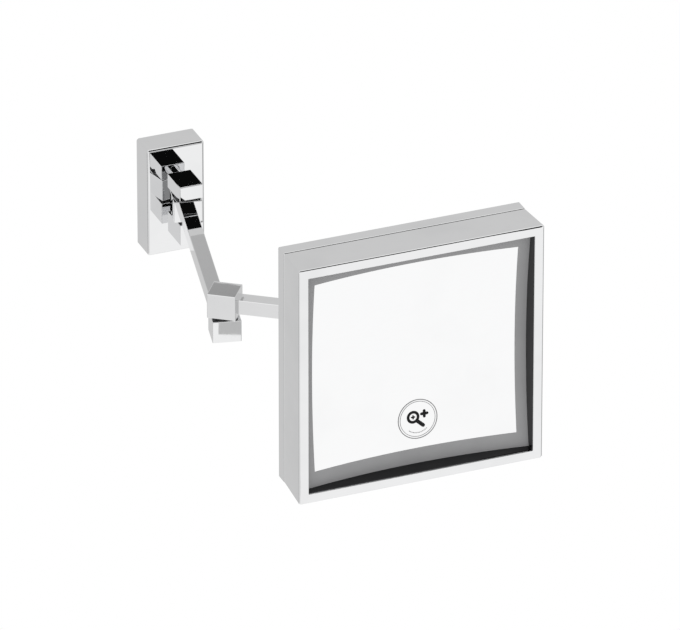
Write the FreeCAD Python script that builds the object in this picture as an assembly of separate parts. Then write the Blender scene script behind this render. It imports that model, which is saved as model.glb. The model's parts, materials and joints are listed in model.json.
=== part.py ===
"""Extendable shaving mirror: wall bracket, two swivelling arms and a tilting square mirror head.

Millimetres. X points right, Y back into the wall and Z up. The origin is the centre of the wall
plate's back, on the wall. The arms are drawn part extended, and the head faces straight out.
"""
import FreeCAD, Part
import os
from math import cos, pi, radians, sin, sqrt

Vector = FreeCAD.Vector
X_AXIS = Vector(1, 0, 0)
Y_AXIS = Vector(0, 1, 0)
Z_AXIS = Vector(0, 0, 1)
ORIGIN = Vector(0, 0, 0)

# ---- driving dimensions: wall plate and bracket
PLATE_W = 48.0
PLATE_H = 93.0
PLATE_D = 23.0
PLATE_WALL = 1.5
PLATE_EDGE_R = 2.2
FIXING_SPACING = 74.0
FIXING_HOLE_R = 2.75
FIXING_T = 6.0
FIXING_MARGIN = 3.0
BOSS_R = 8.5
BOSS_DEPTH = 15.0
COVER_SCREW_R = 1.5
COVER_SCREW_LENGTH = 2.8
COVER_SCREW_KEY = 1.5
COVER_SCREW_KEY_DEPTH = 1.2
COVER_SCREW_SET_IN = 0.2
NECK_R = 5.0
NECK_LENGTH = 6.5
NECK_HOLE_GAP = 0.1
NECK_BACK_THREAD = 9.0
NECK_FRONT_THREAD = 6.0
BRACKET_W = 19.5
BRACKET_D = 27.0
BRACKET_H = 12.0
LOWER_BRACKET_H = 17.5
PIVOT_FROM_FRONT = 12.0

# ---- driving dimensions: arms
SEAM_Z = 14.2
WASHER_T = 1.6
BLOCK_SIDE = 22.5
LOWER_BLOCK_H = 18.0
UPPER_BLOCK_H = 20.5
BAR_SIDE = 12.0
REAR_BAR_DROP = 11.5
FRONT_BAR_RISE = 9.3
REAR_ARM_LENGTH = 202.0
FRONT_ARM_LENGTH = 124.0
REAR_ARM_DEG = -102.9
FRONT_ARM_DEG = -36.0
EDGE_R = 0.5

# ---- driving dimensions: pivots
PIN_R = 4.0
RUNNING_GAP = 0.03
BUSH_R = 5.5
WASHER_R = 9.5
SPRING_R = 6.4
SPRING_T = 1.3
THREAD_R = 3.0
COUNTERBORE_R = 7.2
COUNTERBORE_DEPTH = 8.0
PIN_SOCKET = 9.0
NUT_H = 4.2
NUT_FLATS = 10.0
THREAD_END = 0.4
PRESS_GAP = 0.05
CAP_T = 1.5
STUD_R = 2.5
STUD_IN_BAR = 8.0
STUD_IN_BLOCK = 3.6
STUD_END_GAP = 0.5

# ---- driving dimensions: joint behind the head
EYE_R = 9.5
EYE_H = 10.0
EYE_SHANK = 4.0
EAR_T = 5.0
EAR_GAP = 0.35
SWIVEL_PIN_R = 3.0
SWIVEL_PIN_END = 0.4
SWIVEL_HEAD_R = 5.0
SWIVEL_BUSH_R = 4.5
SWIVEL_NUT_FLATS = 8.4
SWIVEL_WASHER_R = 8.5
SWIVEL_SET_IN = 0.2
FORK_RECESS_R = 5.2
FORK_RECESS_DEPTH = 2.5
DRIVER_SLOT_W = 1.2
DRIVER_SLOT_DEPTH = 1.0
FORK_WEB_NEAR = 11.0
FORK_WEB_FAR = 17.0
TILT_OFFSET = 22.0
BARREL_R = 6.5
BARREL_LENGTH = 24.0
TILT_PIN_R = 2.5
TILT_BUSH_R = 3.5
TILT_BUSH_LENGTH = 8.0
TILT_WASHER_R = 5.5
TILT_HEAD_R = 4.5
TILT_HEAD_H = 2.4
TILT_KEY = 3.0
TILT_KEY_DEPTH = 1.6
TILT_THREAD = 4.0
TILT_NUT_FLATS = 8.0
TILT_NUT_H = 3.4
LUG_T = 5.0
LUG_GAP = 0.5
HINGE_PLATE_SIDE = 52.0
HINGE_PLATE_T = 3.0
HINGE_CORNER_R = 5.0
HINGE_SCREW_INSET = 6.5
HINGE_SCREW_THREAD = 3.0
PAN_HEAD_R = 2.8
PAN_HEAD_H = 2.0
PAN_EDGE_R = 0.6
SCREW_R = 1.5
SCREW_HOLE_R = 1.6
STIFFENER_MARGIN = 8.0
STIFFENER_T = 2.0
SWIVEL_TO_HEAD = 32.5

# ---- driving dimensions: mirror head
HEAD_SIDE = 200.0
HEAD_DEPTH = 46.0
COVER_DEPTH = 12.0
HEAD_DRAFT = 1.5
GASKET_T = 0.4
GASKET_INSET = 1.0
GASKET_W = 1.5
SHEET_T = 1.6
LIP_W = 8.0
MIRROR_RADIUS = 600.0
MIRROR_T = 3.0
GLASS_CLEARANCE = 0.3
GLASS_SEAT_GAP = 0.1
MIRROR_CORNER_DEPTH = 8.0
BORDER_SIDE_W = 8.9
BORDER_END_W = 12.0
BORDER_T = 0.6
BORDER_CLEARANCE = 0.15
BADGE_R = 16.2
BADGE_RING_W = 0.9
BADGE_T = 0.3
BADGE_DROP = 56.3
BADGE_ASIDE = 4.7
BED_DEPTH = 30.0
CORNER_INSET = 12.0
GUSSET_SIDE = 22.0
GUSSET_T = 2.0
POST_R = 4.5
POST_GAP = 0.3
COUNTERSINK_R = 3.2
COUNTERSINK_DEPTH = 1.6
FLAT_HEAD_R = 3.0
FLAT_HEAD_SLOT = (4.4, 1.0, 0.9)
FRAME_EDGE_R = 1.1


def box(x_range, y_range, z_range):
    size = [high - low for low, high in (x_range, y_range, z_range)]
    return Part.makeBox(*size, Vector(x_range[0], y_range[0], z_range[0]))


def centred_box(width, y_range, height, x=0.0, z=0.0):
    return box((x - width / 2, x + width / 2), y_range, (z - height / 2, z + height / 2))


def rod(radius, start, end):
    span = end - start
    return Part.makeCylinder(radius, span.Length, start, span)


def upright(radius, z_low, z_high, x=0.0, y=0.0):
    return rod(radius, Vector(x, y, z_low), Vector(x, y, z_high))


def ring(outer, inner, z_low, z_high):
    return upright(outer, z_low, z_high).cut(upright(inner, z_low - 1, z_high + 1))


def hexagon(across_flats, z_low, z_high):
    corner = across_flats / sqrt(3)
    points = [Vector(corner * cos(k * pi / 3), corner * sin(k * pi / 3), z_low) for k in range(7)]
    return Part.Face(Part.makePolygon(points)).extrude(Vector(0, 0, z_high - z_low))


def softened(solid, radius):
    """The solid with every edge rounded."""
    return solid.makeFillet(radius, solid.Edges)


def group(solids):
    return Part.makeCompound(solids)


def placed(solid, origin, degrees=0.0):
    """A solid drawn about the Z axis, turned and set down with that axis at origin."""
    moved = solid.copy()
    moved.rotate(ORIGIN, Z_AXIS, degrees)
    moved.translate(origin)
    return moved


# ---- where the pivots and the head are
def along(start, length, degrees):
    angle = radians(degrees)
    return start + Vector(cos(angle), sin(angle), 0) * length


NECK_END_Y = -BOSS_DEPTH + NECK_BACK_THREAD
BRACKET_Y = -PLATE_D - NECK_LENGTH
WALL_PIVOT = Vector(0, BRACKET_Y - BRACKET_D + PIVOT_FROM_FRONT, 0)
ELBOW = along(WALL_PIVOT, REAR_ARM_LENGTH, REAR_ARM_DEG)
SWIVEL = along(ELBOW, FRONT_ARM_LENGTH, FRONT_ARM_DEG)

UPPER_Z = SEAM_Z + WASHER_T / 2
LOWER_Z = SEAM_Z - WASHER_T / 2
LOWER_BASE = LOWER_Z - LOWER_BLOCK_H
UPPER_TOP = UPPER_Z + UPPER_BLOCK_H
LOWER_BRACKET_TOP = LOWER_BASE - WASHER_T
LOWER_BRACKET_BASE = LOWER_BRACKET_TOP - LOWER_BRACKET_H
REAR_BAR_Z = LOWER_Z - REAR_BAR_DROP
FRONT_BAR_Z = UPPER_Z + FRONT_BAR_RISE
BRACKET_MID_Z = UPPER_Z + BRACKET_H / 2
HEAD_CENTRE = Vector(SWIVEL.x, 0, FRONT_BAR_Z)

BACK_Y = SWIVEL.y - SWIVEL_TO_HEAD
FRONT_Y = BACK_Y - HEAD_DEPTH
SEAM_Y = BACK_Y - COVER_DEPTH
TILT_AXIS = Vector(SWIVEL.x, SWIVEL.y - TILT_OFFSET, FRONT_BAR_Z)


# ---- wall bracket
def mounting_plate():
    width = PLATE_W - 2 * FIXING_MARGIN
    height = PLATE_H - 2 * FIXING_MARGIN
    base = softened(centred_box(width, (-FIXING_T, 0), height), EDGE_R)
    boss = rod(BOSS_R, Vector(0, -FIXING_T, BRACKET_MID_Z), Vector(0, -BOSS_DEPTH, BRACKET_MID_Z))
    plate = base.fuse(boss)
    for z in (-FIXING_SPACING / 2, FIXING_SPACING / 2):
        plate = plate.cut(rod(FIXING_HOLE_R, Vector(0, 1, z), Vector(0, -FIXING_T - 1, z)))
    tapped = rod(THREAD_R, Vector(0, NECK_END_Y, BRACKET_MID_Z), Vector(0, -PLATE_D, BRACKET_MID_Z))
    return plate.cut(tapped)


def wall_cover():
    shell = centred_box(PLATE_W, (-PLATE_D, 0), PLATE_H)
    outer_edges = [edge for edge in shell.Edges if edge.CenterOfMass.y < -0.01]
    shell = shell.makeFillet(PLATE_EDGE_R, outer_edges)
    inside = centred_box(PLATE_W - 2 * PLATE_WALL, (-PLATE_D + PLATE_WALL, 1), PLATE_H - 2 * PLATE_WALL)
    neck_hole = rod(NECK_R + NECK_HOLE_GAP, Vector(0, 0, BRACKET_MID_Z),
                    Vector(0, -PLATE_D - 1, BRACKET_MID_Z))
    screw_hole = upright(COVER_SCREW_R, -PLATE_H / 2 - 1, -PLATE_H / 2 + PLATE_WALL + 1, y=-FIXING_T / 2)
    return shell.cut(inside).cut(neck_hole).cut(screw_hole)


def cover_screw():
    """Grub screw that grips the mounting plate through the bottom of the cover."""
    low = -PLATE_H / 2 + COVER_SCREW_SET_IN
    screw = upright(COVER_SCREW_R, low, low + COVER_SCREW_LENGTH, y=-FIXING_T / 2)
    socket = hexagon(COVER_SCREW_KEY, low - 1, low + COVER_SCREW_KEY_DEPTH)
    return screw.cut(placed(socket, Vector(0, -FIXING_T / 2, 0)))


def neck():
    z = BRACKET_MID_Z
    body = rod(NECK_R, Vector(0, -BOSS_DEPTH, z), Vector(0, BRACKET_Y, z))
    back_thread = rod(THREAD_R, Vector(0, NECK_END_Y, z), Vector(0, -BOSS_DEPTH, z))
    front_thread = rod(THREAD_R, Vector(0, BRACKET_Y, z), Vector(0, BRACKET_Y - NECK_FRONT_THREAD, z))
    return body.fuse([back_thread, front_thread]).removeSplitter()


def bracket_body(z_range):
    return softened(box((-BRACKET_W / 2, BRACKET_W / 2), (BRACKET_Y - BRACKET_D, BRACKET_Y), z_range), EDGE_R)


def bracket_block():
    z_range = (UPPER_Z, UPPER_Z + BRACKET_H)
    block = bracket_body(z_range)
    z = BRACKET_MID_Z
    neck_socket = rod(THREAD_R, Vector(0, BRACKET_Y + 1, z), Vector(0, BRACKET_Y - NECK_FRONT_THREAD, z))
    pin_socket = upright(PIN_R, UPPER_Z - 1, UPPER_Z + PIN_SOCKET, y=WALL_PIVOT.y)
    return block.cut(neck_socket).cut(pin_socket)


def lower_bracket_block():
    """Block under the rear arm's end block, clamped on the pin, whose nut sits in its underside."""
    block = bracket_body((LOWER_BRACKET_BASE, LOWER_BRACKET_TOP))
    shoulder = LOWER_BRACKET_BASE + COUNTERBORE_DEPTH
    y = WALL_PIVOT.y
    block = block.cut(upright(PIN_R, shoulder, LOWER_BRACKET_TOP + 1, y=y))
    return block.cut(upright(COUNTERBORE_R, LOWER_BRACKET_BASE - 1, shoulder, y=y))


# ---- pivots: a pin fixed in the upper block, with its nut in the underside of the lowest block
SHOULDER_Z = LOWER_BASE + COUNTERBORE_DEPTH


def nut_top(base):
    """Top of the nut in a counterbored block whose underside is at base."""
    return base + COUNTERBORE_DEPTH - SPRING_T - 2 * PRESS_GAP


def pivot_pin(base):
    shoulder = base + COUNTERBORE_DEPTH
    pin = upright(PIN_R, shoulder, UPPER_Z + PIN_SOCKET)
    thread = upright(THREAD_R, nut_top(base) - NUT_H - THREAD_END, shoulder)
    return pin.fuse(thread).removeSplitter()


def pivot_bush(z_low):
    return ring(BUSH_R, PIN_R + RUNNING_GAP, z_low, LOWER_Z)


def pivot_washer(z_low):
    return ring(WASHER_R, PIN_R + RUNNING_GAP, z_low, z_low + WASHER_T - PRESS_GAP)


def pivot_spring(base):
    """A pair of dished spring washers, pressed flat by the nut."""
    return ring(SPRING_R, THREAD_R, nut_top(base), nut_top(base) + SPRING_T)


def pivot_nut(base):
    nut = hexagon(NUT_FLATS, nut_top(base) - NUT_H, nut_top(base))
    return nut.cut(upright(THREAD_R, base, base + COUNTERBORE_DEPTH))


def pivot_cap(base):
    return upright(COUNTERBORE_R, base, base + CAP_T)


def pivot_bores(block):
    """Cut the bush bore and the nut's counterbore into a lower block."""
    bore = upright(BUSH_R, SHOULDER_Z, LOWER_Z + 1)
    counterbore = upright(COUNTERBORE_R, LOWER_BASE - 1, SHOULDER_Z)
    return block.cut(bore).cut(counterbore)


# ---- arms, each drawn along +X from its own pivot
def end_block(z_range):
    half = BLOCK_SIDE / 2
    return softened(box((-half, half), (-half, half), z_range), EDGE_R)


def stud_hole(face_x, block_side, z):
    """Hole of the stud that joins a bar to the block on one side of the joint face at face_x."""
    return rod(STUD_R, Vector(face_x - block_side * STUD_IN_BAR, 0, z),
               Vector(face_x + block_side * STUD_IN_BLOCK, 0, z))


def stud(face_x, block_side, z):
    in_bar = STUD_IN_BAR - STUD_END_GAP
    in_block = STUD_IN_BLOCK - STUD_END_GAP
    return rod(STUD_R, Vector(face_x - block_side * in_bar, 0, z),
               Vector(face_x + block_side * in_block, 0, z))


def arm_bar(span, z):
    half = BAR_SIDE / 2
    bar = box(span, (-half, half), (z - half, z + half))
    long_edges = [edge for edge in bar.Edges if edge.Length > BAR_SIDE + 1]
    bar = bar.makeFillet(EDGE_R, long_edges)
    return bar.cut(stud_hole(span[0], -1, z)).cut(stud_hole(span[1], 1, z))


def arm_studs(span, z):
    return group([stud(span[0], -1, z), stud(span[1], 1, z)])


EYE_ROOT = FRONT_ARM_LENGTH - EYE_R - EYE_SHANK
REAR_BAR_SPAN = (BLOCK_SIDE / 2, REAR_ARM_LENGTH - BLOCK_SIDE / 2)
FRONT_BAR_SPAN = (BLOCK_SIDE / 2, EYE_ROOT)


def rear_arm_wall_block():
    block = end_block((LOWER_BASE, LOWER_Z)).cut(upright(BUSH_R, LOWER_BASE - 1, LOWER_Z + 1))
    return block.cut(stud_hole(REAR_BAR_SPAN[0], -1, REAR_BAR_Z))


def rear_arm_elbow_block():
    block = pivot_bores(end_block((LOWER_BASE, LOWER_Z)))
    block.translate(Vector(REAR_ARM_LENGTH, 0, 0))
    return block.cut(stud_hole(REAR_BAR_SPAN[1], 1, REAR_BAR_Z))


def front_arm_elbow_block():
    block = end_block((UPPER_Z, UPPER_TOP)).cut(upright(PIN_R, UPPER_Z - 1, UPPER_Z + PIN_SOCKET))
    return block.cut(stud_hole(FRONT_BAR_SPAN[0], -1, FRONT_BAR_Z))


def front_arm_eye():
    """Flat round eye on the end of the front arm, which the fork's two ears hold."""
    z_range = (FRONT_BAR_Z - EYE_H / 2, FRONT_BAR_Z + EYE_H / 2)
    half = BAR_SIDE / 2
    eye = upright(EYE_R, *z_range, x=FRONT_ARM_LENGTH)
    shank = box((EYE_ROOT, FRONT_ARM_LENGTH), (-half, half), z_range)
    bore = upright(SWIVEL_BUSH_R, z_range[0] - 1, z_range[1] + 1, x=FRONT_ARM_LENGTH)
    eye = eye.fuse(shank).removeSplitter().cut(bore)
    return eye.cut(stud_hole(EYE_ROOT, 1, FRONT_BAR_Z))


def swivel_bush():
    z_range = (FRONT_BAR_Z - EYE_H / 2, FRONT_BAR_Z + EYE_H / 2)
    return ring(SWIVEL_BUSH_R, SWIVEL_PIN_R + RUNNING_GAP, *z_range)


# ---- fork behind the head, drawn about the swivel axis, with the head towards -Y
EAR_LOW = FRONT_BAR_Z - EYE_H / 2 - EAR_GAP - EAR_T
EAR_HIGH = FRONT_BAR_Z + EYE_H / 2 + EAR_GAP + EAR_T
NUT_RECESS_Z = EAR_LOW + FORK_RECESS_DEPTH
HEAD_RECESS_Z = EAR_HIGH - FORK_RECESS_DEPTH


def swivel_fork():
    half_w = EYE_R
    web = box((-half_w, half_w), (-FORK_WEB_FAR, -FORK_WEB_NEAR), (EAR_LOW, EAR_HIGH))
    barrel = rod(BARREL_R, Vector(-BARREL_LENGTH / 2, -TILT_OFFSET, FRONT_BAR_Z),
                 Vector(BARREL_LENGTH / 2, -TILT_OFFSET, FRONT_BAR_Z))
    bridge = box((-half_w, half_w), (-TILT_OFFSET, -FORK_WEB_FAR),
                 (FRONT_BAR_Z - BARREL_R, FRONT_BAR_Z + BARREL_R))
    pieces = [barrel, bridge]
    for low in (EAR_LOW, EAR_HIGH - EAR_T):
        pieces.append(upright(EYE_R, low, low + EAR_T))
        pieces.append(box((-half_w, half_w), (-FORK_WEB_NEAR, 0), (low, low + EAR_T)))
    fork = web.fuse(pieces).removeSplitter()
    fork = fork.cut(upright(SWIVEL_PIN_R, EAR_LOW - 1, EAR_HIGH + 1))
    for z_range in ((EAR_LOW - 1, NUT_RECESS_Z), (HEAD_RECESS_Z, EAR_HIGH + 1)):
        fork = fork.cut(upright(FORK_RECESS_R, *z_range))
    bore = rod(TILT_BUSH_R, Vector(-BARREL_LENGTH, -TILT_OFFSET, FRONT_BAR_Z),
               Vector(BARREL_LENGTH, -TILT_OFFSET, FRONT_BAR_Z))
    return fork.cut(bore)


def swivel_pin():
    top = EAR_HIGH - SWIVEL_SET_IN
    head = upright(SWIVEL_HEAD_R, HEAD_RECESS_Z, top)
    shank = upright(SWIVEL_PIN_R, EAR_LOW + SWIVEL_PIN_END, HEAD_RECESS_Z)
    slot = box((-EYE_R, EYE_R), (-DRIVER_SLOT_W / 2, DRIVER_SLOT_W / 2),
               (top - DRIVER_SLOT_DEPTH, EAR_HIGH))
    return head.fuse(shank).removeSplitter().cut(slot)


def swivel_nut():
    nut = hexagon(SWIVEL_NUT_FLATS, EAR_LOW + SWIVEL_SET_IN, NUT_RECESS_Z)
    return nut.cut(upright(SWIVEL_PIN_R, EAR_LOW, EAR_HIGH))


def swivel_washers():
    half = EYE_H / 2
    washers = []
    for low in (FRONT_BAR_Z - half - EAR_GAP, FRONT_BAR_Z + half + PRESS_GAP):
        washers.append(ring(SWIVEL_WASHER_R, SWIVEL_PIN_R + RUNNING_GAP, low, low + EAR_GAP - PRESS_GAP))
    return group(washers)


def tilt_ring(outer, inner, x_range):
    centre = Vector(0, -TILT_OFFSET, FRONT_BAR_Z)
    outside = rod(outer, centre + X_AXIS * x_range[0], centre + X_AXIS * x_range[1])
    return outside.cut(rod(inner, centre - X_AXIS * BARREL_LENGTH, centre + X_AXIS * BARREL_LENGTH))


def tilt_bushes():
    half = BARREL_LENGTH / 2
    inner = TILT_PIN_R + RUNNING_GAP
    return group([tilt_ring(TILT_BUSH_R, inner, (-half, TILT_BUSH_LENGTH - half)),
                  tilt_ring(TILT_BUSH_R, inner, (half - TILT_BUSH_LENGTH, half))])


def tilt_washers():
    half = BARREL_LENGTH / 2
    thickness = LUG_GAP - PRESS_GAP
    inner = TILT_PIN_R + RUNNING_GAP
    return group([tilt_ring(TILT_WASHER_R, inner, (-half - thickness, -half)),
                  tilt_ring(TILT_WASHER_R, inner, (half, half + thickness))])


# ---- mirror head
LUG_NEAR = BARREL_LENGTH / 2 + LUG_GAP
LUG_FAR = LUG_NEAR + LUG_T
HINGE_FACE_Y = BACK_Y + HINGE_PLATE_T


def tilt_rod(radius, x_low, x_high):
    return rod(radius, TILT_AXIS + X_AXIS * x_low, TILT_AXIS + X_AXIS * x_high)


def hinge_screw_places():
    reach = HINGE_PLATE_SIDE / 2 - HINGE_SCREW_INSET
    return [Vector(HEAD_CENTRE.x + i * reach, 0, HEAD_CENTRE.z + k * reach)
            for i in (-1, 1) for k in (-1, 1)]


def screw_hole(place, radius, y_front, y_back):
    return rod(radius, Vector(place.x, y_front, place.z), Vector(place.x, y_back, place.z))


def hinge_plate():
    plate = centred_box(HINGE_PLATE_SIDE, (BACK_Y, HINGE_FACE_Y), HINGE_PLATE_SIDE,
                        HEAD_CENTRE.x, HEAD_CENTRE.z)
    corners = [edge for edge in plate.Edges if abs(edge.Length - HINGE_PLATE_T) < 0.01]
    plate = plate.makeFillet(HINGE_CORNER_R, corners)
    lugs = []
    for x_low in (LUG_NEAR, -LUG_FAR):
        lugs.append(tilt_rod(BARREL_R, x_low, x_low + LUG_T))
        lugs.append(box((SWIVEL.x + x_low, SWIVEL.x + x_low + LUG_T), (HINGE_FACE_Y, TILT_AXIS.y),
                        (FRONT_BAR_Z - BARREL_R, FRONT_BAR_Z + BARREL_R)))
    plate = plate.fuse(lugs).removeSplitter().cut(tilt_rod(TILT_PIN_R, -BARREL_LENGTH, BARREL_LENGTH))
    for place in hinge_screw_places():
        plate = plate.cut(screw_hole(place, SCREW_HOLE_R, BACK_Y - 1, HINGE_FACE_Y + 1))
    return plate


def tilt_pin():
    head = tilt_rod(TILT_HEAD_R, LUG_FAR, LUG_FAR + TILT_HEAD_H)
    shank = tilt_rod(TILT_PIN_R, -LUG_FAR - TILT_THREAD, LUG_FAR)
    socket = hexagon(TILT_KEY, -TILT_KEY_DEPTH, 0)
    socket.rotate(ORIGIN, Y_AXIS, 90)
    socket.translate(TILT_AXIS + X_AXIS * (LUG_FAR + TILT_HEAD_H))
    return head.fuse(shank).removeSplitter().cut(socket)


def tilt_nut():
    nut = hexagon(TILT_NUT_FLATS, -LUG_FAR - TILT_NUT_H, -LUG_FAR)
    nut.rotate(ORIGIN, Y_AXIS, 90)
    nut.translate(TILT_AXIS)
    return nut.cut(tilt_rod(TILT_PIN_R, -BARREL_LENGTH, BARREL_LENGTH))


def hinge_screws():
    """Pan-head screws that hold the hinge plate to the cover and the plate inside it."""
    screws = []
    for place in hinge_screw_places():
        shank = screw_hole(place, SCREW_R, BACK_Y - SHEET_T - HINGE_SCREW_THREAD, HINGE_FACE_Y)
        head = softened(screw_hole(place, PAN_HEAD_R, HINGE_FACE_Y, HINGE_FACE_Y + PAN_HEAD_H), PAN_EDGE_R)
        screws.append(head.fuse(shank).removeSplitter())
    return group(screws)


def reinforcing_plate():
    y_back = BACK_Y - SHEET_T
    side = HINGE_PLATE_SIDE + 2 * STIFFENER_MARGIN
    plate = square_block(side, y_back - STIFFENER_T, y_back)
    for place in hinge_screw_places():
        plate = plate.cut(screw_hole(place, SCREW_R, y_back - STIFFENER_T - 1, y_back + 1))
    return plate


def square_wire(side, y):
    half = side / 2
    corners = [(-half, -half), (half, -half), (half, half), (-half, half), (-half, -half)]
    return Part.makePolygon([Vector(HEAD_CENTRE.x + x, y, HEAD_CENTRE.z + z) for x, z in corners])


def tapered_block(front_side, front_y, back_side, back_y):
    return Part.makeLoft([square_wire(front_side, front_y), square_wire(back_side, back_y)], True, True)


def square_block(side, y_front, y_back):
    return centred_box(side, (y_front, y_back), side, HEAD_CENTRE.x, HEAD_CENTRE.z)


def edges_at(solid, y):
    return [edge for edge in solid.Edges if all(abs(v.Y - y) < 0.01 for v in edge.Vertexes)]


def edges_across(solid, y_front, y_back):
    """Edges that run from one depth of the head to the other."""
    found = []
    for edge in solid.Edges:
        depths = sorted(vertex.Y for vertex in edge.Vertexes)
        if abs(depths[0] - y_front) < 0.01 and abs(depths[-1] - y_back) < 0.01:
            found.append(edge)
    return found


OPENING = HEAD_SIDE - 2 * LIP_W
SEAM_SIDE = HEAD_SIDE - 2 * HEAD_DRAFT
FRAME_BACK_Y = SEAM_Y - GASKET_T
MIRROR_SAG = (OPENING / 2) ** 2 / MIRROR_RADIUS
MIRROR_CENTRE_Y = FRONT_Y + MIRROR_CORNER_DEPTH + MIRROR_SAG
GLASS_SIDE = OPENING + 2 * SHEET_T - 2 * GLASS_CLEARANCE


def ball(radius):
    """Ball about the mirror's centre of curvature, which lies out in front of the head."""
    centre = Vector(HEAD_CENTRE.x, MIRROR_CENTRE_Y - MIRROR_RADIUS, HEAD_CENTRE.z)
    return Part.makeSphere(radius, centre)


def dished(outline, near_radius, far_radius):
    """The part of an outline between two depths under the mirror's curved face."""
    return outline.common(ball(far_radius)).cut(ball(near_radius))


def front_frame():
    outside = tapered_block(HEAD_SIDE, FRONT_Y, SEAM_SIDE, FRAME_BACK_Y)
    outside = outside.makeFillet(FRAME_EDGE_R, edges_at(outside, FRONT_Y)
                                 + edges_across(outside, FRONT_Y, FRAME_BACK_Y))
    hollow = tapered_block(HEAD_SIDE - 2 * SHEET_T, FRONT_Y + SHEET_T,
                           SEAM_SIDE - 2 * SHEET_T, FRAME_BACK_Y + 1)
    wall = outside.cut(hollow).cut(square_block(OPENING, FRONT_Y - 1, FRONT_Y + SHEET_T + 1))
    collar = square_block(OPENING + 2 * SHEET_T, FRONT_Y + SHEET_T, MIRROR_CENTRE_Y)
    collar = collar.cut(square_block(OPENING, FRONT_Y, MIRROR_CENTRE_Y + 1))
    collar = collar.common(ball(MIRROR_RADIUS - GLASS_SEAT_GAP))
    return wall.fuse(collar).removeSplitter()


def mirror_glass():
    outline = square_block(GLASS_SIDE, FRONT_Y, FRONT_Y + BED_DEPTH)
    return dished(outline, MIRROR_RADIUS, MIRROR_RADIUS + MIRROR_T)


def mirror_border():
    outline = square_block(OPENING - 2 * BORDER_CLEARANCE, FRONT_Y, FRONT_Y + BED_DEPTH)
    inside = centred_box(OPENING - 2 * BORDER_SIDE_W, (FRONT_Y - 1, FRONT_Y + BED_DEPTH + 1),
                         OPENING - 2 * BORDER_END_W, HEAD_CENTRE.x, HEAD_CENTRE.z)
    outline = outline.cut(inside)
    return dished(outline, MIRROR_RADIUS - BORDER_T, MIRROR_RADIUS)


def magnifier_badge():
    """Thin printed ring low on the mirror."""
    place = Vector(HEAD_CENTRE.x + BADGE_ASIDE, 0, HEAD_CENTRE.z - BADGE_DROP)
    outline = screw_hole(place, BADGE_R, FRONT_Y, FRONT_Y + BED_DEPTH)
    outline = outline.cut(screw_hole(place, BADGE_R - BADGE_RING_W, FRONT_Y - 1, FRONT_Y + BED_DEPTH + 1))
    return dished(outline, MIRROR_RADIUS - BADGE_T, MIRROR_RADIUS)


def mirror_bed():
    """Foam bed that fills the space behind the glass."""
    block = square_block(GLASS_SIDE, FRONT_Y, FRONT_Y + BED_DEPTH)
    return block.cut(ball(MIRROR_RADIUS + MIRROR_T + PRESS_GAP))


def corner_places():
    reach = SEAM_SIDE / 2 - CORNER_INSET
    return [(Vector(HEAD_CENTRE.x + i * reach, 0, HEAD_CENTRE.z + k * reach), i, k)
            for i in (-1, 1) for k in (-1, 1)]


def corner_brackets():
    """Gussets welded into the frame's corners, which clamp the bed and take the cover's screws."""
    outer = SEAM_SIDE / 2 - SHEET_T
    gussets = []
    for place, i, k in corner_places():
        corner = Vector(HEAD_CENTRE.x + i * outer, FRONT_Y + BED_DEPTH, HEAD_CENTRE.z + k * outer)
        beside = corner - X_AXIS * (i * GUSSET_SIDE)
        below = corner - Z_AXIS * (k * GUSSET_SIDE)
        outline = Part.Face(Part.makePolygon([corner, beside, below, corner]))
        gusset = outline.extrude(Y_AXIS * GUSSET_T)
        gussets.append(gusset.cut(screw_hole(place, SCREW_R, FRONT_Y, BACK_Y)))
    return group(gussets)


def cover_gasket():
    outer = SEAM_SIDE - 2 * GASKET_INSET
    band = square_block(outer, FRAME_BACK_Y, SEAM_Y)
    return band.cut(square_block(outer - 2 * GASKET_W, FRAME_BACK_Y - 1, SEAM_Y + 1))


def rear_cover():
    outside = square_block(SEAM_SIDE, SEAM_Y, BACK_Y)
    outside = outside.makeFillet(FRAME_EDGE_R, outside.Edges)
    hollow = square_block(SEAM_SIDE - 2 * SHEET_T, SEAM_Y - 1, BACK_Y - SHEET_T)
    cover = outside.cut(hollow)
    post_end_y = FRONT_Y + BED_DEPTH + GUSSET_T + POST_GAP
    for place, _, _ in corner_places():
        cover = cover.fuse(screw_hole(place, POST_R, post_end_y, BACK_Y - SHEET_T / 2))
    cover = cover.removeSplitter()
    for place, _, _ in corner_places():
        sink_from = Vector(place.x, BACK_Y - COUNTERSINK_DEPTH, place.z)
        cover = cover.cut(screw_hole(place, SCREW_HOLE_R, FRONT_Y, BACK_Y + 1))
        cover = cover.cut(Part.makeCone(SCREW_HOLE_R, COUNTERSINK_R, COUNTERSINK_DEPTH, sink_from, Y_AXIS))
    for place in hinge_screw_places():
        cover = cover.cut(screw_hole(place, SCREW_HOLE_R, BACK_Y - SHEET_T - 1, BACK_Y + 1))
    return cover


def cover_screws():
    """Flat-head screws with a driver slot."""
    slot_w, slot_depth, slot_h = FLAT_HEAD_SLOT
    screws = []
    for place, _, _ in corner_places():
        head_from = Vector(place.x, BACK_Y - COUNTERSINK_DEPTH, place.z)
        head_height = FLAT_HEAD_R - SCREW_R
        head = Part.makeCone(SCREW_R, FLAT_HEAD_R, head_height, head_from, Y_AXIS)
        shank = screw_hole(place, SCREW_R, FRONT_Y + BED_DEPTH, head_from.y)
        screw = head.fuse(shank).removeSplitter()
        slot = centred_box(slot_w, (BACK_Y - slot_depth, BACK_Y), slot_h, place.x, place.z)
        screws.append(screw.cut(slot))
    return group(screws)


# ---- assembly
def at_wall_pivot(solid):
    return placed(solid, WALL_PIVOT)


def on_rear_arm(solid):
    return placed(solid, WALL_PIVOT, REAR_ARM_DEG)


def at_rear_arm_end(solid):
    return placed(solid, ELBOW, REAR_ARM_DEG)


def on_front_arm(solid):
    return placed(solid, ELBOW, FRONT_ARM_DEG)


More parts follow.
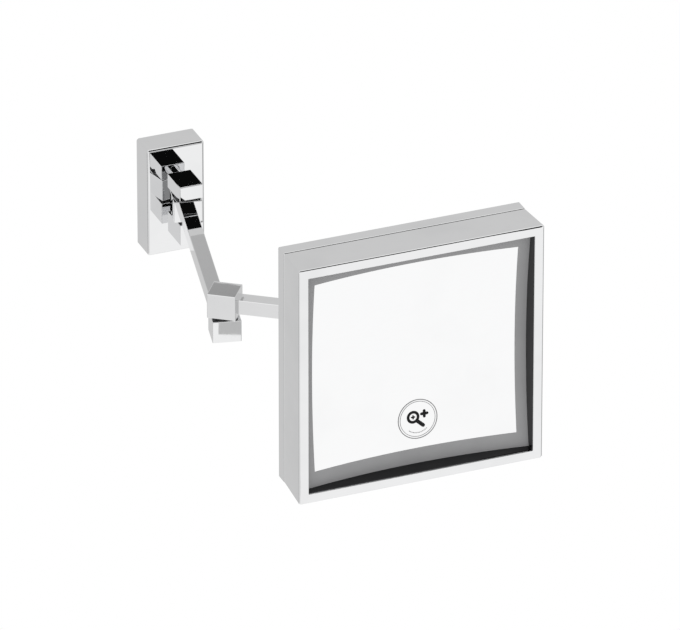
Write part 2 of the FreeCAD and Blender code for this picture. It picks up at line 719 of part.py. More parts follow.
def at_swivel(solid):
    return placed(solid, SWIVEL)


def all_parts():
    return {
        "mounting_plate": mounting_plate(),
        "wall_cover": wall_cover(),
        "cover_screw": cover_screw(),
        "neck": neck(),
        "bracket_block": bracket_block(),
        "lower_bracket_block": lower_bracket_block(),
        "wall_pivot_pin": at_wall_pivot(pivot_pin(LOWER_BRACKET_BASE)),
        "wall_pivot_spring": at_wall_pivot(pivot_spring(LOWER_BRACKET_BASE)),
        "wall_pivot_nut": at_wall_pivot(pivot_nut(LOWER_BRACKET_BASE)),
        "wall_pivot_cap": at_wall_pivot(pivot_cap(LOWER_BRACKET_BASE)),
        "wall_pivot_bush": on_rear_arm(pivot_bush(LOWER_BASE)),
        "wall_pivot_washer": on_rear_arm(pivot_washer(LOWER_Z)),
        "wall_pivot_lower_washer": on_rear_arm(pivot_washer(LOWER_BRACKET_TOP + PRESS_GAP)),
        "rear_arm_wall_block": on_rear_arm(rear_arm_wall_block()),
        "rear_arm_bar": on_rear_arm(arm_bar(REAR_BAR_SPAN, REAR_BAR_Z)),
        "rear_arm_elbow_block": on_rear_arm(rear_arm_elbow_block()),
        "rear_arm_studs": on_rear_arm(arm_studs(REAR_BAR_SPAN, REAR_BAR_Z)),
        "elbow_pivot_bush": at_rear_arm_end(pivot_bush(SHOULDER_Z)),
        "elbow_pivot_washer": at_rear_arm_end(pivot_washer(LOWER_Z)),
        "elbow_pivot_cap": at_rear_arm_end(pivot_cap(LOWER_BASE)),
        "elbow_pivot_pin": on_front_arm(pivot_pin(LOWER_BASE)),
        "elbow_pivot_spring": on_front_arm(pivot_spring(LOWER_BASE)),
        "elbow_pivot_nut": on_front_arm(pivot_nut(LOWER_BASE)),
        "front_arm_elbow_block": on_front_arm(front_arm_elbow_block()),
        "front_arm_bar": on_front_arm(arm_bar(FRONT_BAR_SPAN, FRONT_BAR_Z)),
        "front_arm_eye": on_front_arm(front_arm_eye()),
        "front_arm_studs": on_front_arm(arm_studs(FRONT_BAR_SPAN, FRONT_BAR_Z)),
        "swivel_bush": at_swivel(swivel_bush()),
        "swivel_fork": at_swivel(swivel_fork()),
        "swivel_pin": at_swivel(swivel_pin()),
        "swivel_nut": at_swivel(swivel_nut()),
        "swivel_washers": at_swivel(swivel_washers()),
        "tilt_bushes": at_swivel(tilt_bushes()),
        "tilt_washers": at_swivel(tilt_washers()),
        "tilt_pin": tilt_pin(),
        "tilt_nut": tilt_nut(),
        "hinge_plate": hinge_plate(),
        "hinge_screws": hinge_screws(),
        "reinforcing_plate": reinforcing_plate(),
        "front_frame": front_frame(),
        "mirror_glass": mirror_glass(),
        "mirror_border": mirror_border(),
        "magnifier_badge": magnifier_badge(),
        "mirror_bed": mirror_bed(),
        "corner_brackets": corner_brackets(),
        "cover_gasket": cover_gasket(),
        "rear_cover": rear_cover(),
        "cover_screws": cover_screws(),
    }


os.makedirs("parts", exist_ok=True)
for name, shape in all_parts().items():
    shape.exportStep("parts/" + name + ".step")
    print("%-24s solids %d valid %s volume %.1f" % (name, len(shape.Solids), shape.isValid(), shape.Volume))
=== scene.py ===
"""Looks of the extendable shaving mirror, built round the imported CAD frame. Metres."""

import json
from math import cos, hypot, pi, radians, sin, sqrt

import bmesh
import bpy
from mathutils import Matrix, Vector


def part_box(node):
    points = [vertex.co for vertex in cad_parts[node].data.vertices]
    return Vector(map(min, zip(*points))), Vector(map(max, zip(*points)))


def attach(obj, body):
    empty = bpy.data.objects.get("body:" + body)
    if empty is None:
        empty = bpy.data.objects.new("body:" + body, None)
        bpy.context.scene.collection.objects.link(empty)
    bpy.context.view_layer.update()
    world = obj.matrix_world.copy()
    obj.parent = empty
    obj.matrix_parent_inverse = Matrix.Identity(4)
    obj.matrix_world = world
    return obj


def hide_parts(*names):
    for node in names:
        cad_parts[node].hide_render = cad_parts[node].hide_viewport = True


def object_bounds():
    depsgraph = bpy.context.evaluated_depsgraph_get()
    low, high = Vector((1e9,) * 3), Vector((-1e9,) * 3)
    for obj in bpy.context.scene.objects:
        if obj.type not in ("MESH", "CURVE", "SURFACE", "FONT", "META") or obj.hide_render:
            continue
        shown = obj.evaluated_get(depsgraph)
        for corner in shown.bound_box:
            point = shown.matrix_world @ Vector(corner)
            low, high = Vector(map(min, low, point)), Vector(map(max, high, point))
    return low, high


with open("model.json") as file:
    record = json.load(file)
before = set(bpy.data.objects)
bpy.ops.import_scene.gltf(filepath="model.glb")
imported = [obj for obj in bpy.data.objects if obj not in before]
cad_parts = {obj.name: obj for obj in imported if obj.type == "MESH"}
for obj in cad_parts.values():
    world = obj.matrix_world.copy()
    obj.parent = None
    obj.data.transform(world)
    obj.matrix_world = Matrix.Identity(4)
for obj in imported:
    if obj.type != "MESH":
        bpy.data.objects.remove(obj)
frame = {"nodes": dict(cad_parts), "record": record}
CAD_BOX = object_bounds()

MM = 0.001

# ---- camera: it looks from this direction, and its middle lies this far right of and above the
# middle of the wall plate's back; VIEW_WIDTH is what it sees across at that distance
VIEW_AZIMUTH = -22.1
VIEW_ELEVATION = 28.0
VIEW_DISTANCE = 8.0
VIEW_WIDTH = 0.5346
VIEW_RIGHT = 0.1371
VIEW_UP = -0.1013
SENSOR_WIDTH = 36.0
FAR_CLIP = 100.0

# ---- the head, from the frame
BORDER_CLEARANCE = 0.15 * MM
FRAME_LOW, FRAME_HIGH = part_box("front_frame")
COVER_LOW, COVER_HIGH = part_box("rear_cover")
GASKET_LOW, GASKET_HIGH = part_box("cover_gasket")
GLASS_LOW, GLASS_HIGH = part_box("mirror_glass")
BORDER_LOW, BORDER_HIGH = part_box("mirror_border")
BADGE_LOW, BADGE_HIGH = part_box("magnifier_badge")
HEAD_X = (FRAME_LOW.x + FRAME_HIGH.x) / 2
HEAD_Z = (FRAME_LOW.z + FRAME_HIGH.z) / 2
HEAD_HALF = (FRAME_HIGH.x - FRAME_LOW.x) / 2
COVER_HALF = (COVER_HIGH.x - COVER_LOW.x) / 2
GLASS_HALF = (GLASS_HIGH.x - GLASS_LOW.x) / 2
OPENING_HALF = (BORDER_HIGH.x - BORDER_LOW.x) / 2 + BORDER_CLEARANCE
FRONT_Y = FRAME_LOW.y
SEAM_Y = GASKET_HIGH.y
MIRROR_RADIUS = 0.6  # of curvature
MIRROR_THICK = 3.0 * MM
MIRROR_MIDDLE_Y = GLASS_HIGH.y - MIRROR_THICK
BADGE_X = (BADGE_LOW.x + BADGE_HIGH.x) / 2
BADGE_Z = (BADGE_LOW.z + BADGE_HIGH.z) / 2
BADGE_RADIUS = (BADGE_HIGH.x - BADGE_LOW.x) / 2


# ---- procedural materials
def node_material(name):
    material = bpy.data.materials.new(name)
    material.use_nodes = True
    tree = material.node_tree
    shader = tree.nodes["Principled BSDF"]
    return material, tree, shader


def add(tree, kind, inputs=None, **settings):
    node = tree.nodes.new(kind)
    for key, value in settings.items():
        setattr(node, key, value)
    for key, value in (inputs or {}).items():
        node.inputs[key].default_value = value
    return node


def ramp(tree, source, low, high, low_value, high_value):
    node = add(tree, "ShaderNodeMapRange", {"From Min": low, "From Max": high,
                                            "To Min": low_value, "To Max": high_value})
    tree.links.new(source, node.inputs["Value"])
    return node.outputs["Result"]


def stronger(tree, first, second):
    node = add(tree, "ShaderNodeMath", operation="MAXIMUM")
    tree.links.new(first, node.inputs[0])
    tree.links.new(second, node.inputs[1])
    return node.outputs["Value"]


def mixed(tree, factor, colour_a, colour_b):
    node = add(tree, "ShaderNodeMix", data_type="RGBA")
    tree.links.new(factor, node.inputs["Factor"])
    node.inputs["A"].default_value = (*colour_a, 1)
    node.inputs["B"].default_value = (*colour_b, 1)
    return node.outputs["Result"]


def object_coordinates(tree, stretch=None):
    coords = tree.nodes.new("ShaderNodeTexCoord").outputs["Object"]
    if stretch:
        mapping = add(tree, "ShaderNodeMapping", {"Scale": stretch})
        tree.links.new(coords, mapping.inputs["Vector"])
        coords = mapping.outputs["Vector"]
    return coords


def noise(tree, scale, detail=4.0, stretch=None):
    node = add(tree, "ShaderNodeTexNoise", {"Scale": scale, "Detail": detail})
    tree.links.new(object_coordinates(tree, stretch), node.inputs["Vector"])
    return node.outputs["Fac"]


def worn_edges(tree, low, high):
    """1 along sharp convex edges, 0 on the flats."""
    geometry = tree.nodes.new("ShaderNodeNewGeometry")
    return ramp(tree, geometry.outputs["Pointiness"], low, high, 0.0, 1.0)


def bump(tree, shader, height, strength, distance):
    node = add(tree, "ShaderNodeBump", {"Strength": strength, "Distance": distance})
    tree.links.new(height, node.inputs["Height"])
    tree.links.new(node.outputs["Normal"], shader.inputs["Normal"])


HAZE_SCALE = 22.0
HAZE_RANGE = (0.48, 0.72)
WIPE_SCALE = 120.0
WIPE_STRETCH = (1.0, 1.0, 9.0)
WIPE_RANGE = (0.5, 0.8)
WIPE_STRENGTH = 0.5
RIPPLE_SCALE = 70.0
RIPPLE_STRENGTH = 0.5
METAL_MOTTLE_RANGE = (0.35, 0.7)
METAL_GRAIN_STRENGTH = 0.3
RUBBED_RANGE = (0.52, 0.6)
RUBBED_BRIGHTER = 1.25
DULL_DRIFT_SCALE = 60.0
DULL_DRIFT_RANGE = (0.3, 0.7)
DULL_GRAIN_STRENGTH = 0.4


def polished(name, clean, hazed, rough_clean, rough_hazed, ripple):
    """Bright metal: haze patches and fine wipe marks in the polish, over a faint plating ripple."""
    material, tree, shader = node_material(name)
    haze = noise(tree, HAZE_SCALE, detail=5.0)
    wipes = noise(tree, WIPE_SCALE, detail=6.0, stretch=WIPE_STRETCH)
    patches = ramp(tree, haze, *HAZE_RANGE, 0.0, 1.0)
    streaks = ramp(tree, wipes, *WIPE_RANGE, 0.0, WIPE_STRENGTH)
    dull = stronger(tree, patches, streaks)
    tree.links.new(mixed(tree, dull, clean, hazed), shader.inputs["Base Color"])
    tree.links.new(ramp(tree, dull, 0.0, 1.0, rough_clean, rough_hazed), shader.inputs["Roughness"])
    shader.inputs["Metallic"].default_value = 1.0
    if ripple:
        bump(tree, shader, noise(tree, RIPPLE_SCALE, detail=2.0), RIPPLE_STRENGTH, ripple)
    return material


def bare_metal(name, colour_a, colour_b, rough_low, rough_high, grain, dent):
    """Unpolished metal, mottled, with a casting or plating grain and brighter rubbed edges."""
    material, tree, shader = node_material(name)
    drift = noise(tree, grain / 4)
    rubbed = worn_edges(tree, *RUBBED_RANGE)
    mottled = mixed(tree, drift, colour_a, colour_b)
    blend = add(tree, "ShaderNodeMix", data_type="RGBA")
    tree.links.new(rubbed, blend.inputs["Factor"])
    tree.links.new(mottled, blend.inputs["A"])
    blend.inputs["B"].default_value = (*[min(1.0, RUBBED_BRIGHTER * level) for level in colour_a], 1)
    tree.links.new(blend.outputs["Result"], shader.inputs["Base Color"])
    roughness = ramp(tree, drift, *METAL_MOTTLE_RANGE, rough_low, rough_high)
    tree.links.new(roughness, shader.inputs["Roughness"])
    shader.inputs["Metallic"].default_value = 1.0
    bump(tree, shader, noise(tree, grain, detail=3.0), METAL_GRAIN_STRENGTH, dent)
    return material


def dull_surface(name, colour_a, colour_b, rough_low, rough_high, grain, dent, gloss=0.5):
    """Plastic, rubber, foam, enamel or ink: a drifting tone with a moulded or sprayed grain."""
    material, tree, shader = node_material(name)
    shader.inputs["Specular IOR Level"].default_value = gloss
    drift = noise(tree, DULL_DRIFT_SCALE)
    tree.links.new(mixed(tree, drift, colour_a, colour_b), shader.inputs["Base Color"])
    roughness = ramp(tree, drift, *DULL_DRIFT_RANGE, rough_low, rough_high)
    tree.links.new(roughness, shader.inputs["Roughness"])
    bump(tree, shader, noise(tree, grain, detail=2.0), DULL_GRAIN_STRENGTH, dent)
    return material


CHROME = polished("polished_chrome", clean=(0.845, 0.847, 0.852), hazed=(0.805, 0.808, 0.814),
                  rough_clean=0.012, rough_hazed=0.05, ripple=1.2e-5)
SILVERED = polished("silvered_glass", clean=(0.95, 0.952, 0.955), hazed=(0.93, 0.932, 0.935),
                    rough_clean=0.004, rough_hazed=0.02, ripple=0.0)
# dark polished metal for the lining that makes the wall between the lip and the mirror dark
RECESS_LINER = polished("recess_liner", clean=(0.045, 0.045, 0.047), hazed=(0.07, 0.07, 0.072),
                        rough_clean=0.03, rough_hazed=0.08, ripple=1e-5)
ZINC = bare_metal("zinc_plated_steel", (0.62, 0.63, 0.66), (0.5, 0.51, 0.54),
                  rough_low=0.22, rough_high=0.4, grain=1000.0, dent=2e-5)
CASTING = bare_metal("zinc_casting", (0.55, 0.56, 0.57), (0.42, 0.43, 0.44),
                     rough_low=0.4, rough_high=0.6, grain=800.0, dent=6e-5)
BRONZE = bare_metal("sintered_bronze", (0.6, 0.42, 0.2), (0.42, 0.28, 0.13),
                    rough_low=0.35, rough_high=0.55, grain=1600.0, dent=3e-5)
NYLON = dull_surface("black_nylon", (0.03, 0.03, 0.032), (0.05, 0.05, 0.052),
                     rough_low=0.4, rough_high=0.55, grain=1500.0, dent=1e-5)
FOAM = dull_surface("grey_foam", (0.12, 0.12, 0.125), (0.2, 0.2, 0.21),
                    rough_low=0.8, rough_high=0.95, grain=700.0, dent=2e-4)
RUBBER = dull_surface("black_rubber", (0.012, 0.012, 0.012), (0.03, 0.03, 0.03),
                      rough_low=0.6, rough_high=0.75, grain=900.0, dent=2e-5)
ENAMEL = dull_surface("satin_grey_enamel", (0.28, 0.28, 0.285), (0.33, 0.33, 0.335),
                      rough_low=0.38, rough_high=0.46, grain=2600.0, dent=4e-6)
INK = dull_surface("black_print", (0.006, 0.006, 0.0065), (0.018, 0.018, 0.019),
                   rough_low=0.45, rough_high=0.6, grain=2000.0, dent=1e-6, gloss=0.1)
# grey of the badge's printed ring, also used for the painted drop shadow drawn as a ring inside it
GREY_PRINT_AND_SHADOW = dull_surface("grey_print_and_painted_shadow", (0.12, 0.12, 0.123), (0.36, 0.36, 0.365),
                        rough_low=0.4, rough_high=0.5, grain=2000.0, dent=1e-6, gloss=0.2)

SLOT_MATERIALS = {
    "chrome": CHROME, "steel": ZINC, "die_cast": CASTING, "bronze": BRONZE, "nylon": NYLON,
    "mirror": SILVERED, "satin_border": ENAMEL, "badge_print": GREY_PRINT_AND_SHADOW, "foam": FOAM, "gasket": RUBBER,
}


def paint_cad_nodes():
    for subpart in frame["record"]["subparts"]:
        node = frame["nodes"][subpart["node"]]
        node.data.materials.clear()
        node.data.materials.append(SLOT_MATERIALS[subpart["material_slot"]])


# ---- mesh helpers
SHARP_ANGLE = radians(35)
FLAT_SIDE_STEPS = 4
CURVED_SIDE_STEPS = 40


def finished(mesh_maker, name, material, body, replaced=()):
    """Turn a bmesh into a smooth-shaded piece that rides on a body."""
    bmesh.ops.recalc_face_normals(mesh_maker, faces=mesh_maker.faces)
    mesh = bpy.data.meshes.new(name)
    mesh_maker.to_mesh(mesh)
    mesh_maker.free()
    mesh.shade_smooth()
    mesh.set_sharp_from_angle(angle=SHARP_ANGLE)
    mesh.materials.append(material)
    piece = bpy.data.objects.new(name, mesh)
    bpy.context.scene.collection.objects.link(piece)
    weighted = piece.modifiers.new("flat_faces_stay_flat", "WEIGHTED_NORMAL")
    weighted.keep_sharp = True
    if replaced:
        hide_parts(*replaced)
    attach(piece, body)
    return piece


def rounded_loop(half_w, half_h, radius, side_steps, corner_steps=6):
    """Points round a rectangle with rounded corners, with side_steps along each side."""
    corners = ((1, 1), (-1, 1), (-1, -1), (1, -1))
    points = []
    for quarter, (sx, sz) in enumerate(corners):
        for k in range(corner_steps + 1):
            angle = (quarter + k / corner_steps) * pi / 2
            points.append((sx * (half_w - radius) + radius * cos(angle),
                           sz * (half_h - radius) + radius * sin(angle)))
        nx, nz = corners[(quarter + 1) % 4]
        angle = (quarter + 1) * pi / 2
        start = points[-1]
        end = (nx * (half_w - radius) + radius * cos(angle), nz * (half_h - radius) + radius * sin(angle))
        for k in range(1, side_steps):
            share = k / side_steps
            points.append((start[0] + (end[0] - start[0]) * share,
                           start[1] + (end[1] - start[1]) * share))
    return points


def skin(maker, rings, closed=False):
    """Join rings of points, each with the same count, by bands of quads."""
    made = [[maker.verts.new(point) for point in points] for points in rings]
    bands = list(zip(made, made[1:]))
    if closed:
        bands.append((made[-1], made[0]))
    for near, far in bands:
        for k in range(len(near)):
            after = (k + 1) % len(near)
            maker.faces.new((near[k], near[after], far[after], far[k]))
    return made


def arc(centre, radius, start_deg, end_deg, steps=5):
    """Points on an arc in a section, from one angle to another."""
    points = []
    for k in range(steps + 1):
        angle = radians(start_deg + (end_deg - start_deg) * k / steps)
        points.append((centre[0] + radius * cos(angle), centre[1] + radius * sin(angle)))
    return points


def mirror_y(x, z):
    """Depth of the mirror's curved face at a place on the head."""
    off = hypot(x - HEAD_X, z - HEAD_Z)
    return MIRROR_MIDDLE_Y - MIRROR_RADIUS + sqrt(MIRROR_RADIUS ** 2 - off ** 2)


def head_ring(half_w, half_h, radius, side_steps, depth):
    """A rounded rectangle about the head's middle; depth is a y or a function of x and z."""
    ring = []
    for dx, dz in rounded_loop(half_w, half_h, radius, side_steps):
        x = HEAD_X + dx
        z = HEAD_Z + dz
        ring.append((x, depth(x, z) if callable(depth) else depth, z))
    return ring


# ---- mirror head
SHEET = 1.6 * MM
FRAME_FRONT_R = 1.5 * MM
FRAME_REAR_R = 0.6 * MM
LIP_INNER_R = 0.5 * MM
OUTER_CORNER_R = 1.6 * MM
INNER_CORNER_R = 0.4 * MM
SEAM_GAP = GASKET_HIGH.y - GASKET_LOW.y
REAR_RIM = 0.95 * MM
OUTSIDE_HALF = COVER_HALF - 1.2 * SHEET  # wider rings take the outer corner radius
WALL_LINING = 0.35 * MM
WALL_GAP = 0.02 * MM
WALL_EDGE = 0.6 * MM
MIRROR_STEPS = 88
BORDER_SIDE = 8.9 * MM
BORDER_END = 12.0 * MM
BORDER_LIFT = 0.45 * MM
BORDER_SUNK = 0.05 * MM
BORDER_GAP = 0.4 * MM


def front_frame():
    """Deep pressed frame: drafted sides, a flat lip in front and a rolled rear edge at the seam."""
    rear_y = SEAM_Y - SEAM_GAP
    section = [(COVER_HALF - REAR_RIM, rear_y)]
    section += arc((COVER_HALF - FRAME_REAR_R, rear_y - FRAME_REAR_R), FRAME_REAR_R, 90, 0)
    section += arc((HEAD_HALF - FRAME_FRONT_R, FRONT_Y + FRAME_FRONT_R), FRAME_FRONT_R, 0, -90)
    section += arc((OPENING_HALF + LIP_INNER_R, FRONT_Y + LIP_INNER_R), LIP_INNER_R, -90, -180)
    section += [(OPENING_HALF, FRONT_Y + SHEET), (HEAD_HALF - SHEET, FRONT_Y + SHEET)]
    maker = bmesh.new()
    rings = []
    for half, y in section:
        corner = OUTER_CORNER_R if half > OUTSIDE_HALF else INNER_CORNER_R
        rings.append(head_ring(half, half, corner, FLAT_SIDE_STEPS, y))
    skin(maker, rings, closed=True)
    return finished(maker, "front_frame_shell", CHROME, "mirror_head", ("front_frame",))


def inner_wall():
    """Dark polished lining on the wall between the lip and the mirror; it makes that wall dark."""
    outer = OPENING_HALF - WALL_GAP
    inner = OPENING_HALF - WALL_LINING
    near = FRONT_Y + SHEET
    section = [(inner, near), (inner, near + WALL_EDGE), (inner, mirror_y), (outer, mirror_y),
               (outer, near)]
    maker = bmesh.new()
    rings = [head_ring(half, half, INNER_CORNER_R, CURVED_SIDE_STEPS, depth) for half, depth in section]
    skin(maker, rings, closed=True)
    return finished(maker, "inner_wall", RECESS_LINER, "mirror_head")


def mirror_face():
    """Curved mirror: a grid in front, the same grid behind it and four edges between them."""
    steps = MIRROR_STEPS
    maker = bmesh.new()
    front, back = [], []
    for layer, lift in ((front, 0.0), (back, MIRROR_THICK)):
        for row in range(steps + 1):
            z = HEAD_Z - GLASS_HALF + 2 * GLASS_HALF * row / steps
            xs = [HEAD_X - GLASS_HALF + 2 * GLASS_HALF * k / steps for k in range(steps + 1)]
            layer.append([maker.verts.new((x, mirror_y(x, z) + lift, z)) for x in xs])
    for layer in (front, back):
        for low, high in zip(layer, layer[1:]):
            for k in range(steps):
                maker.faces.new((low[k], low[k + 1], high[k + 1], high[k]))
    edges_front = [front[0], front[-1], [row[0] for row in front], [row[-1] for row in front]]
    edges_back = [back[0], back[-1], [row[0] for row in back], [row[-1] for row in back]]
    for near, far in zip(edges_front, edges_back):
        for k in range(steps):
            maker.faces.new((near[k], near[k + 1], far[k + 1], far[k]))
    return finished(maker, "mirror_face", SILVERED, "mirror_head", ("mirror_glass",))


def border_band():
    """Satin band round the mirror, a little proud of it, with a bevelled inner edge."""
    outer = OPENING_HALF - BORDER_GAP
    inner_w = (BORDER_HIGH.x - BORDER_LOW.x) / 2 - BORDER_SIDE
    inner_h = (BORDER_HIGH.z - BORDER_LOW.z) / 2 - BORDER_END
    section = [(share, BORDER_LIFT) for share in (0.0, 0.35, 0.7, 0.985)]
    section += [(1.0, 0.6 * BORDER_LIFT), (1.0, -BORDER_SUNK), (0.0, -BORDER_SUNK)]

    def depth(height):
        return lambda x, z: mirror_y(x, z) - height

    rings = []
    for share, height in section:
        half_w = outer + (inner_w - outer) * share
        half_h = outer + (inner_h - outer) * share
        rings.append(head_ring(half_w, half_h, INNER_CORNER_R, CURVED_SIDE_STEPS, depth(height)))
    maker = bmesh.new()
    skin(maker, rings, closed=True)
    return finished(maker, "border_band", ENAMEL, "mirror_head", ("mirror_border",))


# ---- badge: a thin ring with a second thin ring inside it as its painted drop shadow, a generic magnifying glass and a row of dots
INK_LIFT = 0.12 * MM
OUTER_RING_W = 0.7 * MM
# the inner ring is the outer ring's drop shadow, painted as a thin grey ring
SHADOW_RING_INSET = 1.7 * MM
SHADOW_RING_W = 0.4 * MM
DOT_COUNT = 13
DOT_ROW_RADIUS = 11.3 * MM
DOT_ROW_START = -128
DOT_ROW_SWEEP = 76
DOT_R = 0.42 * MM
LENS_PLACE = (-3.6 * MM, 1.9 * MM)
LENS_OUTER_R = 5.2 * MM
LENS_INNER_R = 3.0 * MM
HANDLE_START = (-0.2 * MM, -1.8 * MM)
HANDLE_END = (4.4 * MM, -6.0 * MM)
HANDLE_W = 3.0 * MM
LENS_PLUS = 1.2 * MM
BIG_PLUS = 2.3 * MM
BIG_PLUS_PLACE = (5.6 * MM, 3.4 * MM)


def on_mirror(dx, dz, lift):
    """A place on the mirror's face, from the badge's middle, raised by lift."""
    x = BADGE_X + dx
    z = BADGE_Z + dz
    return (x, mirror_y(x, z) - lift, z)


def circle_on_mirror(centre, radius, lift, steps):
    turns = [2 * pi * k / steps for k in range(steps)]
    return [on_mirror(centre[0] + radius * cos(turn), centre[1] + radius * sin(turn), lift)
            for turn in turns]


def printed_ring(maker, centre, outer, inner, steps=72):
    section = ((outer, 0), (outer, INK_LIFT), (inner, INK_LIFT), (inner, 0))
    rings = [circle_on_mirror(centre, radius, lift, steps) for radius, lift in section]
    skin(maker, rings, closed=True)


def printed_dot(maker, centre, radius, steps=14):
    rings = [circle_on_mirror(centre, radius, lift, steps) for lift in (0, INK_LIFT)]
    for ring in skin(maker, rings):
        maker.faces.new(ring)


def printed_bar(maker, start, end, width, end_steps=6):
    """A straight stroke with rounded ends."""
    along = Vector((end[0] - start[0], end[1] - start[1]))
    heading = along.angle_signed(Vector((1, 0)))
    outline = []
    for place, turn in ((end, -pi / 2), (start, pi / 2)):
        for k in range(end_steps + 1):
            angle = heading + turn + pi * k / end_steps
            outline.append((place[0] + width / 2 * cos(angle), place[1] + width / 2 * sin(angle)))
    rings = [[on_mirror(x, z, lift) for x, z in outline] for lift in (0, INK_LIFT)]
    for ring in skin(maker, rings):
        maker.faces.new(ring)


def printed_plus(maker, centre, reach):
    """A plus sign whose strokes are as wide as they reach from its middle."""
    for across, up in ((reach, 0), (0, reach)):
        start = (centre[0] - across, centre[1] - up)
        end = (centre[0] + across, centre[1] + up)
        printed_bar(maker, start, end, reach)


def badge_rings():
    maker = bmesh.new()
    shadow_ring = BADGE_RADIUS - SHADOW_RING_INSET
    printed_ring(maker, (0, 0), BADGE_RADIUS, BADGE_RADIUS - OUTER_RING_W)
    # painted drop shadow: a second grey ring just inside the outer one
    printed_ring(maker, (0, 0), shadow_ring, shadow_ring - SHADOW_RING_W)
    for k in range(DOT_COUNT):
        angle = radians(DOT_ROW_START + DOT_ROW_SWEEP * k / (DOT_COUNT - 1))
        printed_dot(maker, (DOT_ROW_RADIUS * cos(angle), DOT_ROW_RADIUS * sin(angle)), DOT_R)
    return finished(maker, "badge_rings", GREY_PRINT_AND_SHADOW, "mirror_head", ("magnifier_badge",))


def badge_pictogram():
    """A magnifying glass with a plus sign in it, and a plus sign beside it."""
    maker = bmesh.new()
    printed_ring(maker, LENS_PLACE, LENS_OUTER_R, LENS_INNER_R, steps=48)
    printed_bar(maker, HANDLE_START, HANDLE_END, HANDLE_W)
    printed_plus(maker, LENS_PLACE, LENS_PLUS)
    printed_plus(maker, BIG_PLUS_PLACE, BIG_PLUS)
    return finished(maker, "badge_pictogram", INK, "mirror_head")


# ---- stage: floor, light and the cards that polished metal reflects
FLOOR_DROP = 0.35
FLOOR_SIDE = 30.0
BACK_CARD_GAP = 0.3
FLAG_STEP = 0.01
FORWARD = (0, -1, 0)
BACKWARD = (0, 1, 0)
BLACK = (0.004, 0.004)
DARK = (0.2, 0.2)
SOFTBOX_PLACE = (-0.8, -1.6, 1.8)
SOFTBOX_SIZE = 1.6
SOFTBOX_POWER = 6.0


def glowing(name, shades):
    """Emission that runs from shades[0] at a card's bottom edge to shades[1] at its top edge."""
    material = bpy.data.materials.new(name)
    material.use_nodes = True
    tree = material.node_tree
    tree.nodes.clear()
    output = tree.nodes.new("ShaderNodeOutputMaterial")
    glow = tree.nodes.new("ShaderNodeEmission")
    coords = tree.nodes.new("ShaderNodeTexCoord")
    split = tree.nodes.new("ShaderNodeSeparateXYZ")
    tree.links.new(coords.outputs["Generated"], split.inputs["Vector"])
    level = ramp(tree, split.outputs["Y"], 0.0, 1.0, *shades)
    tree.links.new(level, glow.inputs["Strength"])
    tree.links.new(glow.outputs["Emission"], output.inputs["Surface"])
    return material


def flat_card(name, centre, size, facing, shades, rise=0.0, lean=0.0):
    """A flat glowing sheet; rise lifts its right edge and lean shifts its top edge sideways."""
    width, height = size
    mesh = bpy.data.meshes.new(name)
    corners = []
    for across, up in ((-0.5, -0.5), (0.5, -0.5), (0.5, 0.5), (-0.5, 0.5)):
        corners.append((across * width + up * lean, up * height + across * rise, 0))
    mesh.from_pydata(corners, [], [(0, 1, 2, 3)])
    card = bpy.data.objects.new(name, mesh)
    bpy.context.scene.collection.objects.link(card)
    card.rotation_mode = "QUATERNION"
    card.rotation_quaternion = Vector(facing).to_track_quat("Z", "Y")
    card.location = centre
    mesh.materials.append(glowing(name, shades))
    return card


def seen_only_in_reflections(card):
    card.visible_camera = False
    card.visible_diffuse = False
    card.visible_transmission = False
    card.visible_volume_scatter = False
    card.visible_shadow = False


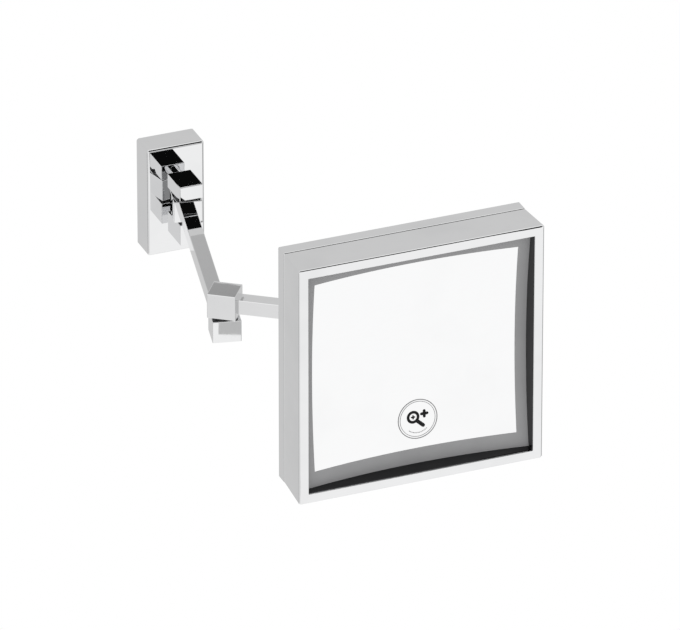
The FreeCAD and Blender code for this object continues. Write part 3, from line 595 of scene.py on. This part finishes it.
def reflected_cards():
    behind = CAD_BOX[1].y + BACK_CARD_GAP
    cards = [
        # behind the wall's plane: the greys of the tops and of the sides turned left
        flat_card("back_card", centre=(0, behind, 0), size=(5, 2.4), facing=FORWARD,
                  shades=(0.61, 0.69)),
        # darker patches before it: the rear bar's top, then the elbow block's top
        flat_card("arm_flag", centre=(0.165, behind - FLAG_STEP, 0.2708), size=(0.07, 0.0885),
                  facing=FORWARD, shades=(0.485, 0.46)),
        flat_card("elbow_flag", centre=(0.1588, behind - 2 * FLAG_STEP, 0.3341),
                  size=(0.0275, 0.0138), facing=FORWARD, shades=(0.37, 0.36),
                  rise=0.0093, lean=-0.0075),
        # high in front: the black of the bracket's and rear bar's tops, by way of the wall plate,
        # and the line between the head's top and its lip
        flat_card("dark_card", centre=(0.2, -1.2, 2.2), size=(2.4, 3.4), facing=BACKWARD,
                  shades=BLACK),
        # level in front: the dark line at the plate's front edge and those at the head's corners
        flat_card("low_dark_card", centre=(0.5, -1.2, 0.3), size=(0.12, 0.4), facing=BACKWARD,
                  shades=BLACK),
        # low in front on the left: the bracket's left sides, the elbow's front, the front bar
        flat_card("left_card", centre=(-1.1, -1.25, -0.75), size=(1.3, 1.3),
                  facing=(0.66, 0.58, 0.48), shades=(0.86, 0.8)),
        # low on the left: the thin lines along the left edges of the plate and the head
        flat_card("left_flag", centre=(-1.5, -0.1, -0.7), size=(0.5, 1.0), facing=(1, 0, 0.3),
                  shades=DARK),
        # low in front on the right: the parts of the bracket that are seen in the wall plate
        flat_card("right_card", centre=(1.15, -0.95, -0.7), size=(0.5, 0.9),
                  facing=(-0.7, 0.6, 0.48), shades=(0.35, 0.35)),
        # near the elbow: the grey panel on the rear arm's block, then the upper block's right side
        flat_card("low_flag", centre=(-0.0697, -0.6, -0.176), size=(0.023, 0.014),
                  facing=(0, 1, 0.5), shades=(0.56, 0.56)),
        flat_card("side_flag", centre=(-0.202, -0.657, -0.21), size=(0.04, 0.04),
                  facing=(0.33, 0.82, 0.47), shades=(0.6, 0.6)),
        # far to the right, for the right edges of the plate and the head, and far to the left,
        # for the other poses
        flat_card("right_wall", centre=(2.5, -0.8, -0.2), size=(2.4, 3.0), facing=(-1, 0, 0),
                  shades=(0.45, 0.8)),
        flat_card("left_wall", centre=(-2.6, -0.5, 1.0), size=(2.4, 2.6), facing=(1, 0, 0),
                  shades=(0.8, 0.5)),
    ]
    for card in cards:
        seen_only_in_reflections(card)


def softbox():
    """The one lamp; it lights the satin and printed surfaces and stays out of the reflections."""
    lamp = bpy.data.lights.new("softbox", "AREA")
    lamp.shape = "DISK"
    lamp.size = SOFTBOX_SIZE
    lamp.energy = SOFTBOX_POWER
    light = bpy.data.objects.new("softbox", lamp)
    bpy.context.scene.collection.objects.link(light)
    light.location = SOFTBOX_PLACE
    light.rotation_mode = "QUATERNION"
    light.rotation_quaternion = light.location.to_track_quat("Z", "Y")
    light.visible_glossy = False


def build_stage():
    world = bpy.data.worlds.new("studio")
    world.use_nodes = True
    background = world.node_tree.nodes["Background"]
    background.inputs["Color"].default_value = (1, 1, 1, 1)
    background.inputs["Strength"].default_value = 1.0
    bpy.context.scene.world = world
    floor = flat_card("floor", centre=(0, 0, CAD_BOX[0].z - FLOOR_DROP), size=(FLOOR_SIDE, FLOOR_SIDE),
                      facing=(0, 0, 1), shades=(1.0, 1.0))
    floor.visible_glossy = False
    reflected_cards()
    softbox()
    bpy.context.scene.view_settings.view_transform = "Standard"


def build_camera():
    azimuth, elevation = radians(VIEW_AZIMUTH), radians(VIEW_ELEVATION)
    outward = Vector((sin(azimuth) * cos(elevation), -cos(azimuth) * cos(elevation), sin(elevation)))
    data = bpy.data.cameras.new("camera")
    camera = bpy.data.objects.new("camera", data)
    bpy.context.scene.collection.objects.link(camera)
    rotation = (-outward).to_track_quat("-Z", "Y")
    right = rotation @ Vector((1, 0, 0))
    up = rotation @ Vector((0, 1, 0))
    camera.location = outward * VIEW_DISTANCE + right * VIEW_RIGHT + up * VIEW_UP
    camera.rotation_mode = "QUATERNION"
    camera.rotation_quaternion = rotation
    data.sensor_width = SENSOR_WIDTH
    data.lens = data.sensor_width * VIEW_DISTANCE / VIEW_WIDTH
    data.clip_end = FAR_CLIP
    bpy.context.scene.camera = camera


paint_cad_nodes()
front_frame()
inner_wall()
mirror_face()
border_band()
badge_rings()
badge_pictogram()
build_stage()
build_camera()
